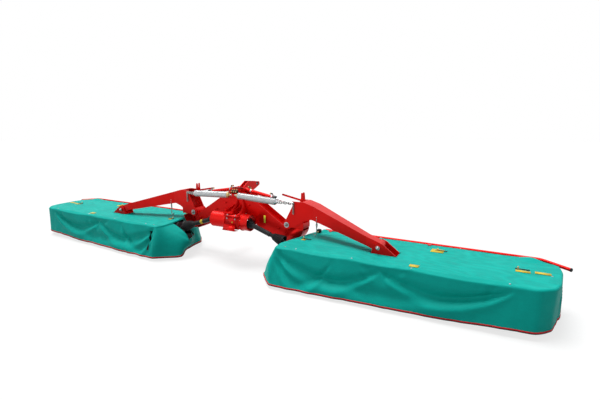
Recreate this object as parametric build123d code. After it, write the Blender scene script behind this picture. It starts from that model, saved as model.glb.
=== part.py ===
from build123d import *
import math
import os

# Rear-mounted butterfly disc mower, in millimetres.
# +X is the machine's right, +Y is forward to the tractor, +Z is up.
# The origin is on the ground under the middle of the machine.

# Steel sheet and running fits
plate = 12
thin = 5
run_gap = 5
pin_fit = 0.08
seat_gap = 0.3

# Arm hinge on the headstock, and the arm's outline
hinge_x = 951
hinge_z = 698
hinge_pin_r = 30
arm_near_y = 80
arm_width = 250
arm_plate = 15
corner_x = 1049
corner_z = 1070
knee_x = 1239
knee_z = 1073
boom_start_x = 1400
arm_boss_r = 72
arm_drop = 0.2861
boom_root_depth = 211
boom_tip_depth = 122

# Pivot that carries a mower unit under its arm
pivot_x = 2491
pivot_z = 642
pivot_y = -116
pivot_pin_r = 25
boom_tip_x = 2325
boom_tip_width = 150
pivot_boss_r = 66

# Headstock beams
apex_half = 165
apex_z = 1130
beam_slope = 0.64
beam_end_x = 871
beam_end_low = 422
beam_low_x = 360
beam_low_z = 634
beam_mid_x = 756
beam_mid_z = 470
arch_z = 800
web_sink = 75
knuckle_r = 78
lobe_r = 280
lobe_low = 655
lobe_high = 880
lobe_reach = 300

# Top link bracket and lower link clevises
top_link_y = 610
top_link_z = 1210
top_link_r = 16
top_link_half_gap = 34
lower_link_x = 395
lower_link_y = 690
lower_link_nose = 50
lower_link_z = 500
lower_link_r = 18.5
lower_link_gap = 60
lower_link_plate = 15
front_reach = lower_link_y + lower_link_nose

# Relief springs, one above each side of the headstock
spring_y = -4
spring_r = 52
anchor_half = 12
spring_pin_x = 40
spring_pin_r = 9
lug_thick = 14
lug_r = 16
fork_plate = 10
spring_anchor_z = 1090
spring_start = 64
spring_length = 702
spring_fall = 2.5
eye_bolt_r = 16
shackle_wire = 9
link_wire = 8
link_pitch = 34
link_width = 26
taut_links = 5
taut_side_step = 9
spare_links = 5

# Central gearbox and the guards round its two output joints
shaft_y = -80
shaft_z = 700
joint_x = 300
gearbox_half = 75
gearbox_rear = -190
gearbox_front = 60
gearbox_low = 590
gearbox_high = 815
shield_half = 88
guard_r = 140
guard_wall = 5
guard_end_x = 400
stub_r = 30
input_r = 17.5
input_z = 690
input_end_y = 190

# Drive shafts to the units
inlet_x = 1010
inlet_z = 470
joint_ball_r = 30
tube_outer_r = 38
tube_inner_r = 30
tube_clear = 0.6
outer_tube_end = 470
inner_tube_start = 260
cone_mouth_r = 92
cone_mouth_back = 25
cone_length = 140
inlet_gap = 65

# Lift cylinders
lift_base_x = 88
lift_base_z = 1166
lift_y = 205
lift_eye_x = 1060
lift_eye_z = 1000
barrel_r = 30
barrel_length = 600
rod_r = 17
lift_eye_r = 32
lift_pin_r = 15
lift_eye_width = 80

# Mower unit under its canvas
roof_z = 560
hem_z = 60
canvas = 6
panel_gap = 0.5
beam_half_width = 75
beam_low = 330
beam_high = 470
unit_beam_in = 1350
unit_beam_out = 4250
ear_plate = 15
guard_tube_r = 21
rail_y = 500
rail_r = 18
rail_posts = (1500, 3000, 4150)
disc_count = 8
disc_first_x = 1405
disc_pitch = 387
disc_y = 110
disc_low = 105
bar_low = 30
bar_high = 95
bar_half = 120
tip_r = 235
lobe_disc_r = 170

arm_far_y = arm_near_y + arm_width
beam_near_y = arm_near_y + arm_plate + run_gap
beam_far_y = arm_far_y - arm_plate - run_gap


def outline(points):
    return make_face(Polyline(*points, close=True))


def along_y(face, y0, y1):
    """Extrude a face drawn as (x, z) from y0 to y1."""
    plane = Plane(origin=(0, y1, 0), x_dir=(1, 0, 0), z_dir=(0, -1, 0))
    return extrude(plane * face, amount=y1 - y0)


def along_x(face, x0, x1):
    """Extrude a face drawn as (y, z) from x0 to x1."""
    plane = Plane(origin=(x0, 0, 0), x_dir=(0, 1, 0), z_dir=(1, 0, 0))
    return extrude(plane * face, amount=x1 - x0)


def block(x0, x1, y0, y1, z0, z1):
    low = (Align.MIN, Align.MIN, Align.MIN)
    return Pos(x0, y0, z0) * Box(x1 - x0, y1 - y0, z1 - z0, align=low)


def rod_y(x, z, radius, y0, y1):
    return along_y(Pos(x, z) * Circle(radius), y0, y1)


def rod_between(start, end, radius):
    direction = Vector(*end) - Vector(*start)
    plane = Plane(origin=start, z_dir=direction)
    return plane * Cylinder(radius, direction.length, align=(Align.CENTER, Align.CENTER, Align.MIN))


def axis_plane(x, y, z, angle):
    """Plane whose normal runs outward from (x, y, z), turned up by angle degrees."""
    turn = math.radians(angle)
    return Plane(origin=(x, y, z), x_dir=(0, 1, 0), z_dir=(math.cos(turn), 0, math.sin(turn)))


def turned(plane, profile, ball=None):
    """Revolve (distance, radius) points about the plane's normal, with an optional ball on its axis."""
    face = outline([(radius, distance) for distance, radius in profile])
    if ball:
        distance, radius = ball
        half = (Pos(0, distance) * Circle(radius)) & (
            Pos(0, distance) * Rectangle(radius + 1, 2 * radius + 2, align=(Align.MIN, Align.CENTER)))
        face = face + half
    local = Plane(origin=plane.origin, x_dir=plane.x_dir, z_dir=-plane.y_dir)
    return revolve(local * face, axis=Axis(plane.origin, plane.z_dir), revolution_arc=360)


def both(shape):
    return shape + mirror(shape, about=Plane.YZ)


def joined(pieces):
    whole = pieces[0]
    for piece in pieces[1:]:
        whole = whole + piece
    return whole


def beam_top(x):
    return apex_z - beam_slope * (x - apex_half)


def arm_top(x):
    return knee_z - arm_drop * (x - knee_x)


# Headstock
def beam_face():
    """One half of the V-shaped plate, with the knuckle and its lobe round the hinge."""
    straight = [
        (0, apex_z),
        (apex_half, apex_z),
        (beam_end_x, beam_top(beam_end_x)),
        (hinge_x, hinge_z),
        (hinge_x, lobe_low),
        (beam_end_x + 30, beam_end_low + 40),
        (beam_end_x, beam_end_low),
        (beam_mid_x, beam_mid_z),
        (beam_low_x, beam_low_z),
        (0, beam_low_z),
    ]
    arch = Pos(0, arch_z - arch_radius()) * Circle(arch_radius())
    half = outline(straight) - arch
    lobe = Pos(hinge_x, hinge_z) * Circle(lobe_r)
    lobe = lobe & (Pos(hinge_x, lobe_low) * Rectangle(
        lobe_reach, lobe_high - lobe_low, align=(Align.MIN, Align.MIN)))
    lobe = lobe - outline([
        (hinge_x + knuckle_r, lobe_high + 1),
        (hinge_x + knuckle_r, hinge_z + knuckle_r + 20),
        (hinge_x + lobe_r * 0.75, lobe_high + 1),
    ])
    knuckle = Pos(hinge_x, hinge_z) * Circle(knuckle_r)
    upper = outline([
        (hinge_x - 10, hinge_z),
        (hinge_x - 10, hinge_z + knuckle_r),
        (hinge_x + lobe_r * 0.6, lobe_high),
        (hinge_x + lobe_r * 0.6, hinge_z),
    ])
    lower_lobe = lobe & (Pos(hinge_x, lobe_low) * Rectangle(
        lobe_reach, hinge_z + 60 - lobe_low, align=(Align.MIN, Align.MIN)))
    return half + knuckle + (upper & lobe) + lower_lobe


def arch_radius():
    rise = arch_z - beam_low_z
    return (beam_low_x ** 2 + rise ** 2) / (2 * rise)


def sloped_web(top_offset, low_offset, x0, x1):
    """A web between the two V plates, parallel to their top edge."""
    face = outline([
        (x0, beam_top(x0) - top_offset),
        (x1, beam_top(x1) - top_offset),
        (x1, beam_top(x1) - low_offset),
        (x0, beam_top(x0) - low_offset),
    ])
    return along_y(face, beam_near_y, beam_far_y)


def lower_web():
    face = outline([
        (beam_low_x, beam_low_z),
        (beam_mid_x, beam_mid_z),
        (beam_end_x, beam_end_low),
        (beam_end_x + 30, beam_end_low + 40),
        (beam_end_x + 18, beam_end_low + 44),
        (beam_end_x, beam_end_low + plate),
        (beam_mid_x, beam_mid_z + plate + 2),
        (beam_low_x, beam_low_z + plate + 2),
    ])
    return along_y(face, beam_near_y, beam_far_y)


def fin():
    """Curved gusset from the apex down to the gearbox."""
    corner = outline([
        (beam_near_y, spring_anchor_z - 60),
        (beam_near_y, gearbox_high + 15),
        (gearbox_rear + 60, gearbox_high + 15),
        (gearbox_rear + 60, gearbox_high + 45),
    ])
    hollow_r = 520
    hollow = Pos(gearbox_rear + 60 - 20, gearbox_high + 45 + hollow_r) * Circle(hollow_r)
    side = along_x(corner - hollow, -plate / 2, plate / 2)
    return Pos(70, 0, 0) * side


def top_link_bracket():
    face = outline([
        (beam_near_y + 20, apex_z - 60),
        (beam_near_y + 40, apex_z + 22),
        (370, 1280),
        (680, 1240),
        (690, 1185),
        (560, 1132),
        (beam_far_y + 110, 1085),
        (beam_far_y + 20, apex_z - 160),
        (beam_near_y + 60, apex_z - 160),
    ])
    face = fillet(face.vertices().sort_by(Axis.X)[-2:], 26)
    face = face - Pos(top_link_y, top_link_z) * Circle(top_link_r)
    inner = top_link_half_gap
    return both(along_x(face, inner, inner + plate))


def lower_clevis():
    face = outline([
        (beam_far_y - 6, 560),
        (beam_far_y - 6, 780),
        (beam_far_y + 60, 770),
        (front_reach - 30, lower_link_z + 55),
        (front_reach, lower_link_z + 30),
        (front_reach, lower_link_z - 30),
        (front_reach - 25, lower_link_z - 45),
        (lower_link_y - 90, lower_link_z - 45),
    ])
    face = face - Pos(lower_link_y, lower_link_z) * Circle(lower_link_r)
    inner = lower_link_x - lower_link_gap / 2 - lower_link_plate
    outer = lower_link_x + lower_link_gap / 2
    side_in = along_x(face, inner, inner + lower_link_plate)
    side_out = along_x(face, outer, outer + lower_link_plate)
    tie = block(inner, outer + lower_link_plate, beam_far_y + 70, beam_far_y + 130, 640, 664)
    return side_in + side_out + tie


def headstock():
    half = along_y(beam_face(), beam_near_y, beam_near_y + plate)
    half += along_y(beam_face(), beam_far_y - plate, beam_far_y)
    half += sloped_web(web_sink, web_sink + plate, apex_half - 90, beam_end_x - 20)
    half += lower_web()
    half += rod_y(hinge_x, hinge_z, knuckle_r - 8, beam_near_y, beam_far_y)
    rim = Pos(hinge_x, hinge_z) * (Circle(lobe_r) - Circle(lobe_r - plate))
    rim = rim & (Pos(hinge_x + 100, lobe_low) * Rectangle(
        lobe_reach, hinge_z + 40 - lobe_low, align=(Align.MIN, Align.MIN)))
    half += along_y(rim, beam_near_y, beam_far_y)
    floor = block(hinge_x, hinge_x + lobe_r - 20, beam_near_y, beam_far_y, lobe_low, lobe_low + plate)
    half += floor
    half += lower_clevis()
    half += fin()
    whole = both(half)
    whole += top_link_bracket()
    deck_half = 60
    deck_top = apex_z - 18
    whole += block(-deck_half, deck_half, beam_near_y, beam_far_y, deck_top - plate, deck_top)
    ear = outline([
        (-lift_base_x - 40, beam_top(lift_base_x + 40) - 60),
        (-lift_base_x - 30, lift_base_z + 20),
        (-lift_base_x, lift_base_z + 36),
        (lift_base_x, lift_base_z + 36),
        (lift_base_x + 30, lift_base_z + 20),
        (lift_base_x + 40, beam_top(lift_base_x + 40) - 60),
    ])
    near_ear = lift_y - lift_eye_width / 2 - run_gap - plate
    far_ear = lift_y + lift_eye_width / 2 + run_gap
    whole += along_y(ear, near_ear, near_ear + plate)
    whole += along_y(ear, far_ear, far_ear + plate)
    lift_pin = rod_y(lift_base_x, lift_base_z, lift_pin_r, near_ear - 12, far_ear + plate + 12)
    whole += both(lift_pin)
    whole += block(-anchor_half, anchor_half, spring_y - lug_thick / 2, beam_near_y + 2,
                   spring_anchor_z - lug_r, spring_anchor_z + lug_r)
    lug = SlotOverall(2 * (spring_pin_x + lug_r), 2 * lug_r)
    whole += along_y(Pos(0, spring_anchor_z) * lug, spring_y - lug_thick / 2, spring_y + lug_thick / 2)
    spring_pin = lug_thick / 2 + fork_plate + seat_gap + 4
    whole += both(rod_y(spring_pin_x, spring_anchor_z, spring_pin_r, spring_y - spring_pin, spring_y + spring_pin))
    whole += block(-gearbox_half - 15, gearbox_half + 15, gearbox_rear + 30, beam_near_y + 4,
                   gearbox_high + seat_gap, gearbox_high + 15)
    hole = rod_y(hinge_x, hinge_z, hinge_pin_r + pin_fit, beam_near_y - 5, beam_far_y + 5)
    return whole - both(hole)


# Central gearbox
def main_gearbox():
    low = gearbox_low
    face = outline([
        (gearbox_rear, low + 60),
        (gearbox_rear, gearbox_high - 30),
        (gearbox_rear + 30, gearbox_high),
        (gearbox_front, gearbox_high),
        (gearbox_front, low + 20),
        (gearbox_front - 20, low),
        (gearbox_rear + 60, low),
    ])
    body = along_x(face, -gearbox_half + 8, gearbox_half - 8)
    body += rod_y(0, input_z, 58, gearbox_front - 5, gearbox_front + 22)
    body += rod_y(0, input_z, input_r, gearbox_front, input_end_y)
    side = axis_plane(gearbox_half - 10, shaft_y, shaft_z, 0)
    reach = joint_x - joint_ball_r - seat_gap - gearbox_half + 10
    flange = turned(side, [(0, 0), (0, 110), (26 - seat_gap, 110), (26 - seat_gap, 62), (60, 50), (60, 34),
                           (reach, stub_r), (reach, 0)])
    return body + both(flange)


def drum_guards():
    side = axis_plane(gearbox_half + 16, shaft_y, shaft_z, 0)
    long = guard_end_x - gearbox_half - 16
    inner = guard_r - guard_wall
    drum = turned(side, [(0, 100), (0, guard_r - 14), (14, guard_r), (long, guard_r),
                         (long, inner), (16, inner), (5, guard_r - 18), (5, 100)])
    return both(drum)


def gearbox_shield():
    """Tilted plate below and behind the gearbox."""
    tilt = outline([
        (gearbox_rear - 0.4, gearbox_low + 95),
        (gearbox_rear - 34, gearbox_low + 75),
        (gearbox_rear - 70, gearbox_low - 20),
        (gearbox_rear - 64, gearbox_low - 22),
        (gearbox_rear - 29, gearbox_low + 71),
        (gearbox_rear - 0.4, gearbox_low + 88),
    ])
    return along_x(tilt, -shield_half, shield_half)


# Relief springs
def spring_plane():
    return axis_plane(spring_pin_x, spring_y, spring_anchor_z, -spring_fall)


def relief_spring():
    """Closely wound tension spring with screwed end plugs and its shackle."""
    start = spring_start
    end = spring_start + spring_length
    fork_in = lug_r + run_gap
    fork_out = start - 20
    body = turned(spring_plane(), [
        (fork_in, 0), (fork_in, lug_r), (fork_out, 20), (fork_out, 30),
        (start - 6, 46), (start, spring_r), (end, spring_r), (end + 6, 44), (end + 26, 26),
        (end + 34, 14), (end + 62, 11), (end + 62, 0)])
    cheek = lug_thick / 2 + seat_gap
    profile = Rectangle(fork_out, 2 * lug_r, align=(Align.MIN, Align.CENTER)) + Circle(lug_r)
    profile = profile - Circle(spring_pin_r + pin_fit)
    lay = Plane(origin=spring_plane().origin, x_dir=spring_plane().z_dir, z_dir=(0, -1, 0))
    for side_y in (cheek, -cheek - fork_plate):
        body += lay * (Pos(0, 0, side_y) * extrude(profile, amount=fork_plate))
    body += lay * (Pos(fork_in + 2, 0, 0) * Box(
        fork_out - fork_in - 2, 2 * lug_r, 2 * cheek + fork_plate, align=(Align.MIN, Align.CENTER, Align.CENTER)))
    return body


def chain_link(plane, upright):
    """Flat-sided link, its long axis on the plane's x."""
    outer = SlotOverall(link_pitch + 2 * link_wire + 2, link_width)
    inner = SlotOverall(link_pitch + 2, link_width - 2 * link_wire)
    ring = extrude(outer - inner, amount=link_wire / 2, both=True)
    if upright:
        ring = Rot(90, 0, 0) * ring
    return plane * ring


def relief_chain():
    """Taut chain from the spring's eye to the arm, part of the spring's own body."""
    base = spring_plane()
    start = spring_start + spring_length + 62 + link_pitch / 2 + link_wire + 1 + seat_gap
    links = []
    for number in range(taut_links):
        centre = base.origin + base.z_dir * (start + number * link_pitch)
        centre = centre + Vector(0, number * taut_side_step, 0)
        plane = Plane(origin=centre, x_dir=base.z_dir, z_dir=(0, -1, 0))
        links.append(chain_link(plane, number % 2 == 1))
    return joined(links)


# Lift cylinders
def lift_line():
    rise = lift_eye_z - lift_base_z
    run = lift_eye_x - lift_base_x
    return math.degrees(math.atan2(rise, run)), math.hypot(rise, run)


def lift_barrel():
    angle, _ = lift_line()
    plane = axis_plane(lift_base_x, lift_y, lift_base_z, angle)
    bore = rod_r + 0.5
    long = barrel_length
    body = turned(plane, [
        (20, 0), (20, barrel_r - 6), (30, barrel_r), (long - 40, barrel_r), (long - 40, barrel_r + 5),
        (long, barrel_r + 5), (long, bore), (90, bore), (90, 0)])
    half = lift_eye_width / 2
    eye = rod_y(lift_base_x, lift_base_z, lift_eye_r, lift_y - half, lift_y + half)
    port_at = plane.origin + plane.z_dir * (long - 60)
    port = Pos(*port_at) * Cylinder(11, barrel_r + 22, align=(Align.CENTER, Align.CENTER, Align.MIN))
    hole = rod_y(lift_base_x, lift_base_z, lift_pin_r + pin_fit, lift_y - half - 5, lift_y + half + 5)
    inside = turned(plane, [(90, 0), (90, bore), (long + 2, bore), (long + 2, 0)])
    return body + eye + port - hole - inside


def lift_rod():
    angle, length = lift_line()
    plane = axis_plane(lift_base_x, lift_y, lift_base_z, angle)
    shaft = turned(plane, [(length - barrel_length + 130, 0), (length - barrel_length + 130, rod_r),
                           (length - 10, rod_r), (length - 10, 0)])
    half = lift_eye_width / 2
    eye = rod_y(lift_eye_x, lift_eye_z, lift_eye_r, lift_y - half, lift_y + half)
    pin = rod_y(lift_eye_x, lift_eye_z, lift_pin_r, lift_y - half - 25, lift_y + half + 25)
    return shaft + eye + pin


# Drive shafts
def shaft_line():
    rise = inlet_z - shaft_z
    run = inlet_x - joint_x
    return math.degrees(math.atan2(rise, run)), math.hypot(rise, run)


def drive_outer():
    angle, _ = shaft_line()
    plane = axis_plane(joint_x, shaft_y, shaft_z, angle)
    bore = tube_inner_r + tube_clear
    return turned(plane, [
        (0, 0), (0, 22), (36, 22), (36, 34), (60, 34), (60, 86), (66, 86), (150, 46),
        (150, tube_outer_r), (outer_tube_end, tube_outer_r), (outer_tube_end, bore), (180, bore), (180, 0)], (0, joint_ball_r))


def drive_inner():
    angle, length = shaft_line()
    plane = axis_plane(joint_x, shaft_y, shaft_z, angle)
    mouth = length - cone_mouth_back
    back = mouth - cone_length
    tube = turned(plane, [
        (inner_tube_start, 0), (inner_tube_start, tube_inner_r), (length - 90, tube_inner_r),
        (length - 90, 34), (length - 36, 34), (length - 36, 22), (length, 22), (length, 0)],
        (length, joint_ball_r))
    ribs = []
    steps = 5
    for number in range(steps):
        low = number / steps
        mid = (number + 0.5) / steps
        high = (number + 1) / steps
        wide = tube_inner_r + 12 + (cone_mouth_r - tube_inner_r - 12) * low
        crest = tube_inner_r + 12 + (cone_mouth_r - tube_inner_r - 12) * high
        ribs += [(back + cone_length * low, wide - 4), (back + cone_length * mid, crest)]
    profile = [(back, tube_inner_r - 2)] + ribs + [(mouth, cone_mouth_r), (mouth, cone_mouth_r - 6),
                                                   (back + 20, tube_inner_r + 6), (back + 20, tube_inner_r - 2)]
    cone = turned(plane, profile)
    return tube + cone


# Arms
def arm_plate_face():
    face = outline([
        (corner_x, corner_z),
        (knee_x, knee_z),
        (boom_start_x + 10, arm_top(boom_start_x + 10)),
        (boom_start_x + 10, arm_top(boom_start_x + 10) - boom_root_depth),
        (knee_x + 130, arm_top(knee_x + 130) - boom_root_depth - 5),
        (knee_x + 16, 783),
        (hinge_x + 178, 700),
        (hinge_x + 45, hinge_z - 56),
        (hinge_x - 40, hinge_z),
        (hinge_x - 20, hinge_z + 70),
        (corner_x + 8, corner_z - 60),
    ])
    return face + Pos(hinge_x, hinge_z) * Circle(arm_boss_r)


def boom():
    root = Plane(origin=(boom_start_x, 0, 0), x_dir=(0, 1, 0), z_dir=(1, 0, 0))
    tip = Plane(origin=(boom_tip_x, 0, 0), x_dir=(0, 1, 0), z_dir=(1, 0, 0))
    root_top = arm_top(boom_start_x)
    tip_top = arm_top(boom_tip_x)
    root_face = root * (Pos(arm_near_y, root_top) * Rectangle(
        arm_width, boom_root_depth, align=(Align.MIN, Align.MAX)))
    tip_face = tip * (Pos(pivot_y - boom_tip_width / 2, tip_top) * Rectangle(
        boom_tip_width, boom_tip_depth, align=(Align.MIN, Align.MAX)))
    straight = along_y(outline([
        (boom_tip_x - 2, arm_top(boom_tip_x - 2)),
        (pivot_x, pivot_z + pivot_boss_r),
        (pivot_x, pivot_z - pivot_boss_r),
        (boom_tip_x - 2, arm_top(boom_tip_x - 2) - boom_tip_depth),
    ]), pivot_y - boom_tip_width / 2, pivot_y + boom_tip_width / 2)
    return loft([root_face, tip_face], ruled=True) + straight


def lock_bar():
    """Transport lock bar between two lugs on the arm's front side."""
    lug_x = corner_x + 36
    lug = outline([(lug_x - 26, corner_z - 90), (lug_x - 18, corner_z + 90), (lug_x - 4, corner_z + 100),
                   (lug_x + 12, corner_z + 92), (lug_x + 28, corner_z - 90)])
    near = arm_far_y
    lugs = along_y(lug, near - 4, near + 10) + along_y(lug, near + 54, near + 66)
    foot = block(lug_x - 26, lug_x + 28, near - 4, near + 66, corner_z - 92, corner_z - 62)
    bar = outline([(lug_x + 10, corner_z - 44), (lug_x - 10, corner_z - 16), (712, 1122), (700, 1108),
                   (706, 1094), (lug_x - 14, corner_z - 46)])
    return lugs + foot + along_y(bar, near + 26, near + 38) + rod_y(
        lug_x, corner_z - 30, 9, near + 5, near + 60)


def arm():
    near = along_y(arm_plate_face(), arm_near_y, arm_near_y + arm_plate)
    far = along_y(arm_plate_face(), arm_far_y - arm_plate, arm_far_y)
    web_start = 1200
    web_face = outline([
        (web_start, corner_z + 2),
        (knee_x, knee_z),
        (boom_start_x + 4, arm_top(boom_start_x + 4)),
        (boom_start_x + 4, arm_top(boom_start_x + 4) - plate),
        (knee_x - 4, knee_z - plate),
        (web_start, corner_z + 2 - plate),
    ])
    body = near + far + along_y(web_face, arm_near_y, arm_far_y) + boom()
    tip_near = pivot_y - boom_tip_width / 2
    tip_far = pivot_y + boom_tip_width / 2
    body += rod_y(pivot_x, pivot_z, pivot_boss_r, tip_near, tip_far)
    body += lock_bar()
    body -= rod_y(hinge_x, hinge_z, hinge_pin_r + pin_fit, arm_near_y - 5, arm_far_y + 5)
    body -= rod_y(pivot_x, pivot_z, pivot_pin_r + pin_fit, tip_near - 5, tip_far + 5)
    return body


def hinge_pin():
    head = 10
    pin = rod_y(hinge_x, hinge_z, hinge_pin_r, arm_near_y - seat_gap - 1, arm_far_y + seat_gap + 1)
    near = rod_y(hinge_x, hinge_z, 42, arm_near_y - seat_gap - head, arm_near_y - seat_gap)
    far = rod_y(hinge_x, hinge_z, 42, arm_far_y + seat_gap, arm_far_y + seat_gap + head)
    return pin + near + far


def arm_chain():
    """Spare end of the relief chain, hanging down the arm's rear face."""
    links = []
    top_x = corner_x + 24
    top_z = corner_z - 34
    for number in range(spare_links):
        centre = (top_x, arm_near_y - link_width / 2 - seat_gap, top_z - number * link_pitch)
        plane = Plane(origin=centre, x_dir=(0, 0, -1), z_dir=(0, -1, 0))
        links.append(chain_link(plane, number % 2 == 1))
    return joined(links)


# Mower units
roof_points = [
    (4300, -540), (4530, 180), (4520, 400), (4170, 560),
    (1360, 560), (1262, 340), (1135, -380), (1260, -560)]
hem_points = [
    (4330, -640), (4560, 180), (4550, 420), (4190, 640),
    (1300, 640), (1030, 330), (800, -420), (1130, -740)]


def inset(points, distance):
    """The same outline, moved inward by distance along each corner's bisector."""
    moved = []
    count = len(points)
    for index in range(count):
        before = Vector(*points[index - 1], 0)
        here = Vector(*points[index], 0)
        after = Vector(*points[(index + 1) % count], 0)
        first = (here - before).normalized()
        second = (after - here).normalized()
        normal_one = Vector(-first.Y, first.X, 0)
        normal_two = Vector(-second.Y, second.X, 0)
        bisector = (normal_one + normal_two).normalized()
        reach = distance / bisector.dot(normal_one)
        moved.append((here.X + bisector.X * reach, here.Y + bisector.Y * reach))
    return moved


def skirt_panel(index):
    """One hanging panel of the cover between two corners of the outline."""
    count = len(roof_points)
    follow = (index + 1) % count
    levels = []
    for points, height in ((hem_points, hem_z), (roof_points, roof_z - canvas - panel_gap)):
        inner = inset(points, canvas)
        start = Vector(*points[index], 0)
        end = Vector(*points[follow], 0)
        run = (end - start).normalized() * panel_gap
        inner_start = Vector(*inner[index], 0) + run
        inner_end = Vector(*inner[follow], 0) - run
        start = start + run
        end = end - run
        corners = [(v.X, v.Y) for v in (start, end, inner_end, inner_start)]
        levels.append(Plane(origin=(0, 0, height), x_dir=(1, 0, 0), z_dir=(0, 0, 1)) * outline(corners))
    return loft(levels, ruled=True)


inlet_cut_x = 1300
inlet_cut_low = 230
inlet_cut_rear = -230
inlet_cut_front = 70
bracket_cut_in = 2360
bracket_cut_out = 2760


def canopy():
    """Canvas cover, open below, with a way in for the shaft and a slot for the bracket."""
    roof = Pos(0, 0, roof_z - canvas) * extrude(outline(roof_points), amount=canvas)
    panels = [skirt_panel(index) for index in range(len(roof_points))]
    inlet = block(700, inlet_cut_x, inlet_cut_rear, inlet_cut_front, inlet_cut_low, roof_z + 20)
    slot = block(bracket_cut_in, bracket_cut_out, pivot_y - 125, pivot_y + 125, roof_z - 40, roof_z + 20)
    whole = joined([roof] + panels)
    return whole - inlet - slot


def pivot_ear(near):
    face = outline([
        (2340, beam_high - 20),
        (2400, 560),
        (pivot_x - 66, pivot_z + 30),
        (pivot_x, pivot_z + 72),
        (pivot_x + 60, pivot_z + 50),
        (2720, 565),
        (2740, beam_high - 20),
    ])
    return along_y(face, near, near + ear_plate)


def unit_frame():
    """Carrier beam with the pivot ears, and the arms that hold the cutterbar and the cover."""
    y0 = pivot_y - beam_half_width
    y1 = pivot_y + beam_half_width
    body = block(unit_beam_in, unit_beam_out, y0, y1, beam_low, beam_high)
    ear_gap = boom_tip_width / 2 + run_gap
    near_ear = pivot_y - ear_gap - ear_plate
    far_ear = pivot_y + ear_gap
    body += pivot_ear(near_ear)
    body += pivot_ear(far_ear)
    body += block(2340, 2740, near_ear, far_ear + ear_plate, beam_high - 20, beam_high)
    body += rod_y(pivot_x, pivot_z, pivot_pin_r, near_ear - 14, far_ear + ear_plate + 14)
    bar_rear = disc_y - bar_half
    for x in (unit_beam_in, unit_beam_out - 60):
        body += along_x(outline([
            (y0, beam_low + 5), (y0, bar_low + 30), (y0 + 30, bar_low + 5), (bar_rear - seat_gap, bar_low + 5),
            (bar_rear - seat_gap, bar_high - 10), (y0 + 56, bar_high - 5), (y0 + 56, beam_low + 5)]), x, x + 24)
    rail_top = roof_z - canvas - seat_gap
    rail_z = rail_top - rail_r
    for x in rail_posts:
        body += rod_between((x, -rail_y, rail_z), (x, rail_y, rail_z), rail_r - 4)
        body += block(x - 30, x + 30, y0 + 20, y1 - 20, beam_high - 5, rail_z)
    body += rod_between((1420, rail_y, rail_z), (4200, rail_y, rail_z), rail_r)
    body += rod_between((1420, -rail_y, rail_z), (4240, -rail_y, rail_z), rail_r)
    return body


def front_guard():
    """Round tube along the front of the cover, bent back at its outer end."""
    y = 590
    z = roof_z - 10
    path = FilletPolyline((1380, y, z), (4330, y, z), (4628, 400, z - 20), radius=160)
    tube = sweep(Plane(origin=(1380, y, z), z_dir=(1, 0, 0)) * Circle(guard_tube_r), path=path)
    for x in rail_posts:
        tube += block(x - 20, x + 20, rail_y - 20, y, roof_z + seat_gap, roof_z + seat_gap + 8)
    return tube


def unit_gearbox():
    angle, _ = shaft_line()
    plane = axis_plane(inlet_x, shaft_y, inlet_z, angle)
    stub = turned(plane, [(inlet_gap, 0), (inlet_gap, 28), (170, 28), (170, 0)])
    cover = turned(plane, [(100, 40), (100, 96), (150, 100), (150, 40)])
    body = block(1150, 1330, -170, 60, 300, 500)
    body += block(1240, 1480, -30, 200, 170, 420)
    body += Pos(disc_first_x, disc_y, 0) * (
        Pos(0, 0, 162) * Cylinder(52, 20, align=(Align.CENTER, Align.CENTER, Align.MIN)))
    body += block(1325, unit_beam_in - seat_gap, pivot_y - 50, pivot_y + 50, 350, 450)
    return body + stub + cover


def cutterbar():
    """Flat gearcase with a rounded nose, and one skid under each disc."""
    rear = disc_y - bar_half
    nose = disc_y + bar_half
    face = outline([
        (rear, bar_low), (rear, bar_high - 14), (rear + 20, bar_high), (nose - 50, bar_high),
        (nose, bar_high - 34), (nose, bar_low + 8), (nose - 12, bar_low)])
    bar = along_x(face, disc_first_x - 190, disc_first_x + (disc_count - 1) * disc_pitch + 190)
    skid_face = outline([
        (rear - 140, 0), (rear - 140, 8), (rear, 10), (rear, bar_low + 2), (nose - 14, bar_low + 2),
        (nose + 6, bar_low + 22), (nose + 14, bar_low + 14), (nose - 10, 4), (nose - 30, 0)])
    for number in range(disc_count):
        x = disc_first_x + number * disc_pitch
        bar += along_x(skid_face, x - 165, x + 165)
        hub = Cylinder(58, disc_low + 9 - seat_gap - bar_high + 2, align=(Align.CENTER, Align.CENTER, Align.MIN))
        bar += Pos(x, disc_y, bar_high - 2) * hub
    return bar


def disc(number):
    """Three-lobed disc with a domed hub and three swinging knives."""
    lobes = Pos(0, 0) * Circle(118)
    for arm_number in range(3):
        turn = math.radians(120 * arm_number)
        tip = Pos((lobe_disc_r - 42) * math.cos(turn), (lobe_disc_r - 42) * math.sin(turn))
        lobes += tip * Circle(42)
    hull = make_hull(lobes.edges())
    body = extrude(hull, amount=14)
    body = chamfer(body.faces().sort_by(Axis.Z)[-1].edges(), 5)
    dome = Plane.XZ * outline([(0, 0), (76, 0), (76, 22), (52, 38), (0, 44)])
    body += revolve(dome, axis=Axis.Z, revolution_arc=360)
    for arm_number in range(3):
        knife = Pos(lobe_disc_r - 40, 0, -4) * Box(
            tip_r - lobe_disc_r + 40, 44, 4, align=(Align.MIN, Align.CENTER, Align.MIN))
        stud = Pos(lobe_disc_r - 26, 0, -9) * Cylinder(14, 10, align=(Align.CENTER, Align.CENTER, Align.MIN))
        body += Rot(0, 0, 120 * arm_number) * (knife + stud)
    start = 30 if number % 2 == 0 else 90
    x = disc_first_x + number * disc_pitch
    return Pos(x, disc_y, disc_low + 9) * (Rot(0, 0, start) * body)


def save(name, shape):
    export_step(shape, f"parts/{name}.step")


def save_pair(name, shape):
    save(f"{name}_right", shape)
    save(f"{name}_left", mirror(shape, about=Plane.YZ))


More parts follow.
